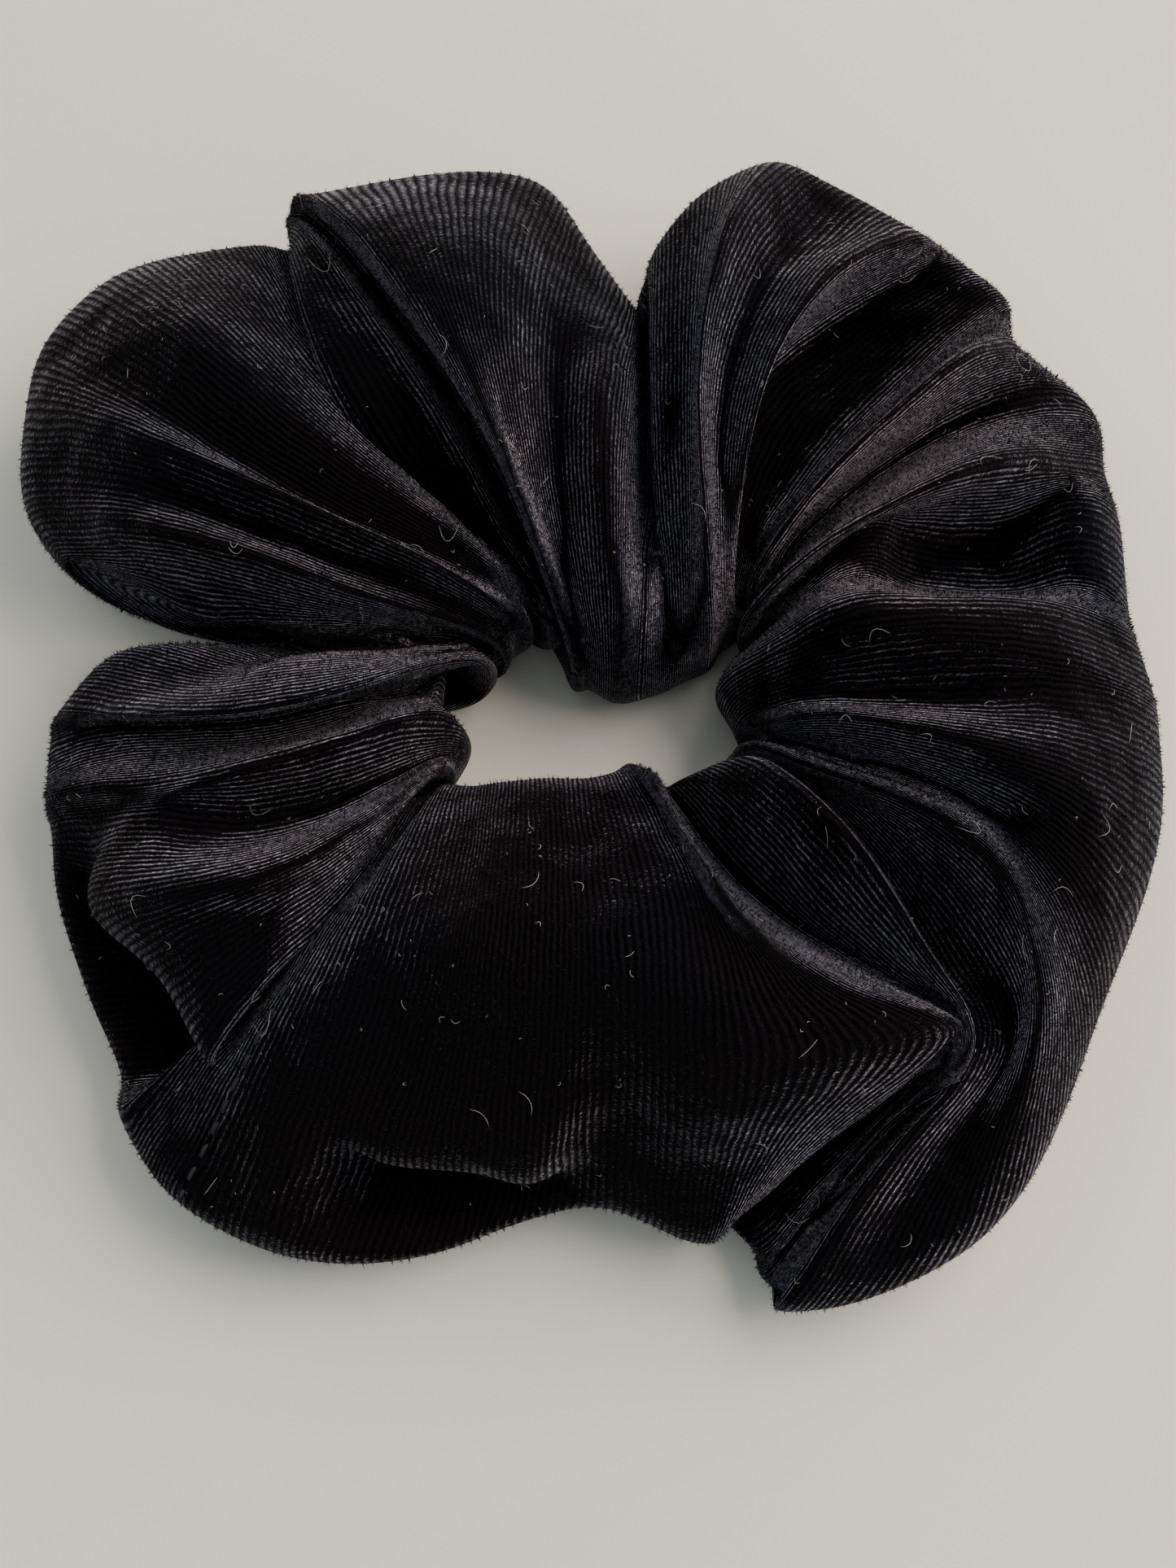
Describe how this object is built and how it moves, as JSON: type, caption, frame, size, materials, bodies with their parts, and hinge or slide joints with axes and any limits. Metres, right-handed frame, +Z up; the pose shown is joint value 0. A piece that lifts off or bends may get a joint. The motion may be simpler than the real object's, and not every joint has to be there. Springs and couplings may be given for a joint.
{
  "type": "scrunchie",
  "caption": "Gathered velour ring with a sewn-in loop of flat elastic that holds hair in its hole and stretches open.",
  "frame": {"origin": "on the table plane, below the middle of the ring's box", "axes": "+Z up through the hole, +X to the right across the cut between the two cover halves, +Y to the back"},
  "size_m": [0.1148, 0.1164, 0.0308],
  "materials": {
    "velour": "ribbed knit velour, soft pile",
    "elastic": "braided",
    "thread": "spun thread"
  },
  "bodies": {
    "left_half": {"cover_left": "velour", "elastic_band": "elastic", "elastic_stitching": "thread", "long_seam_left": "thread", "closing_seam": "thread"},
    "right_half": {"cover_right": "velour", "long_seam_right": "thread"}
  },
  "joints": [
    {"name": "stretch", "type": "slide", "parent": "left_half", "child": "right_half", "axis": [1, 0, 0], "range_m": [0, 0.07], "stiffness_N_per_m": 90, "deforming": ["elastic_band"]}
  ]
}
